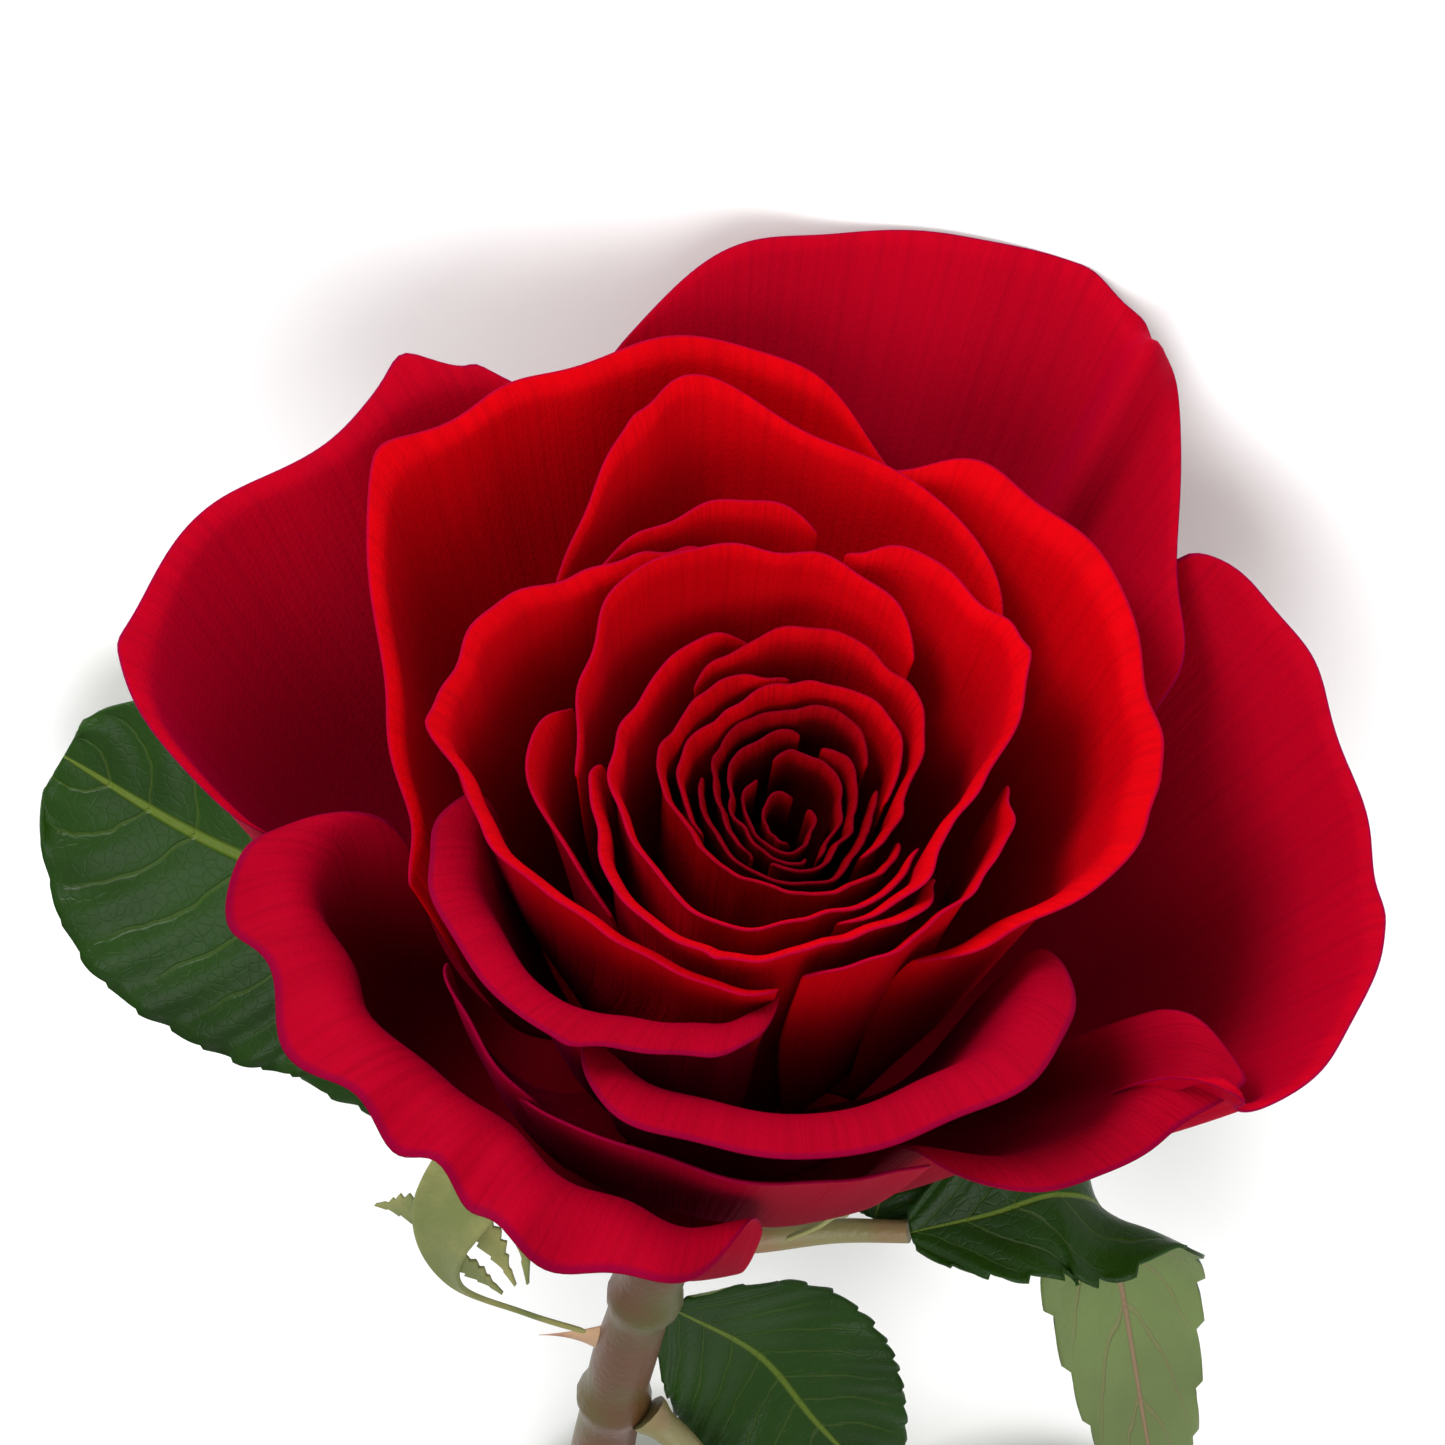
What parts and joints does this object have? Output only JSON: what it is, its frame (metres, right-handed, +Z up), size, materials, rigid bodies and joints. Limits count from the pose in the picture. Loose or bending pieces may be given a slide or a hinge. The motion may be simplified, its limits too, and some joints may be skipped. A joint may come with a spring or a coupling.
{
  "type": "cut rose",
  "caption": "Large open rose bloom with spiralling petals on a leafy, thorned cut stem, laid down on a flat surface as a single cut flower.",
  "frame": {"origin": "On the surface the flower lies on, under the middle of its bounding box.", "axes": "+X runs along the stem towards the bloom, +Z is up, and +Y completes a right-handed frame."},
  "size_m": [0.3202, 0.1276, 0.0928],
  "materials": {
    "petal": "matte",
    "sepal": "matte",
    "leaf": "satin",
    "leaf_stalk": "satin",
    "stem": "satin"
  },
  "bodies": {
    "root": {"outer_petal_left": "petal", "outer_petal_right": "petal", "outer_petal_front_left": "petal", "outer_petal_back": "petal", "outer_petal_front_right": "petal", "outer_petal_front": "petal", "middle_petal_sliver": "petal", "middle_petal_left": "petal", "middle_petal_front": "petal", "middle_petal_right": "petal", "middle_petal_front_left": "petal", "middle_petal_back": "petal", "middle_petal_back_inner": "petal", "inner_petal_left": "petal", "inner_petal_front_right": "petal", "inner_petal_left_small": "petal", "inner_petal_front": "petal", "inner_petal_right": "petal", "inner_petal_back": "petal", "inner_petal_low": "petal", "heart_petal_1": "petal", "heart_petal_2": "petal", "heart_petal_3": "petal", "heart_petal_4": "petal", "heart_petal_5": "petal", "heart_petal_6": "petal", "heart_petal_7": "petal", "heart_petal_8": "petal", "heart_petal_9": "petal", "heart_petal_10": "petal", "stem": "stem", "sepal_left": "sepal", "sepal_back_left": "sepal", "sepal_back_right": "sepal", "sepal_right": "sepal", "sepal_front": "sepal", "left_leaf_stalk": "leaf_stalk", "left_leaf_end": "leaf", "left_leaf_side_front": "leaf", "left_leaf_side_back": "leaf", "right_leaf_stalk": "leaf_stalk", "right_leaf_end": "leaf", "right_leaf_side": "leaf", "lower_leaf": "leaf", "low_leaf_stalk": "leaf_stalk", "low_leaf_end": "leaf", "low_leaf_side_right": "leaf", "low_leaf_side_left": "leaf"}
  },
  "joints": []
}
